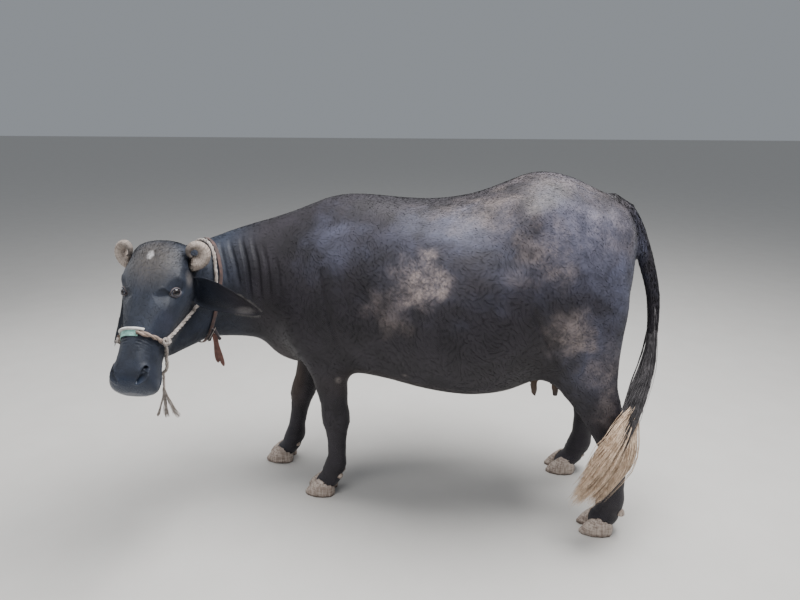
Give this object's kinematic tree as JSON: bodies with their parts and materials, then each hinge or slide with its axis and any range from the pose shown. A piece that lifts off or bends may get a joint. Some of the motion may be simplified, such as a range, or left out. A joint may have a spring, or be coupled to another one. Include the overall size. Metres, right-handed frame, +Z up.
{
  "type": "water buffalo",
  "caption": "Standing water buffalo cow, life size, head turned back to her left, with tight curled horns, a pale tail switch, a rope halter and a collar. Still model.",
  "frame": {"origin": "on the ground, under the middle of the box round the whole animal", "axes": "+Z up, the head end is toward -X and the rump toward +X, her left side is toward -Y"},
  "size_m": [1.9488, 1.021, 1.336],
  "materials": {
    "hide": "charcoal slate hide with sparse short hair, dusty brown on the flank, rump and thigh",
    "udder": "bare warm brown skin",
    "horn": "grey tan ribbed horn, dark at the tip",
    "claw": "yellowish grey claw horn with growth lines, muddy at the sole",
    "eye": "wet dark eye with a pale bluish iris ring",
    "dark_hair": "coarse black tail hair",
    "pale_hair": "tan tail switch of long hair",
    "rope": "twisted off-white and tan rope, frayed at its end",
    "band": "white and teal woven noseband",
    "strap": "worn reddish brown strap",
    "toggle": "black toggle piece"
  },
  "bodies": {
    "root": {"claw_front_left_inner": "claw", "claw_front_left_outer": "claw", "claw_front_right_inner": "claw", "claw_front_right_outer": "claw", "claw_hind_left_inner": "claw", "claw_hind_left_outer": "claw", "claw_hind_right_inner": "claw", "claw_hind_right_outer": "claw", "collar": "strap", "collar_strap_end": "strap", "collar_toggle": "toggle", "dewclaw_front_left_inner": "claw", "dewclaw_front_left_outer": "claw", "dewclaw_front_right_inner": "claw", "dewclaw_front_right_outer": "claw", "dewclaw_hind_left_inner": "claw", "dewclaw_hind_left_outer": "claw", "dewclaw_hind_right_inner": "claw", "dewclaw_hind_right_outer": "claw", "ear_left": "hide", "ear_right": "hide", "eye_left": "eye", "eye_right": "eye", "halter_headstall": "rope", "halter_jaw": "rope", "halter_knot_left": "rope", "halter_knot_right": "rope", "halter_noseband": "band", "halter_tassel_fray": "rope", "halter_tassel_rope": "rope", "head": "hide", "horn_left": "horn", "horn_right": "horn", "leg_front_left": "hide", "leg_front_right": "hide", "leg_hind_left": "hide", "leg_hind_right": "hide", "neck": "hide", "tail_black_hair": "dark_hair", "tail_dock": "hide", "tail_pale_switch": "pale_hair", "torso": "hide", "udder": "udder"}
  },
  "joints": []
}
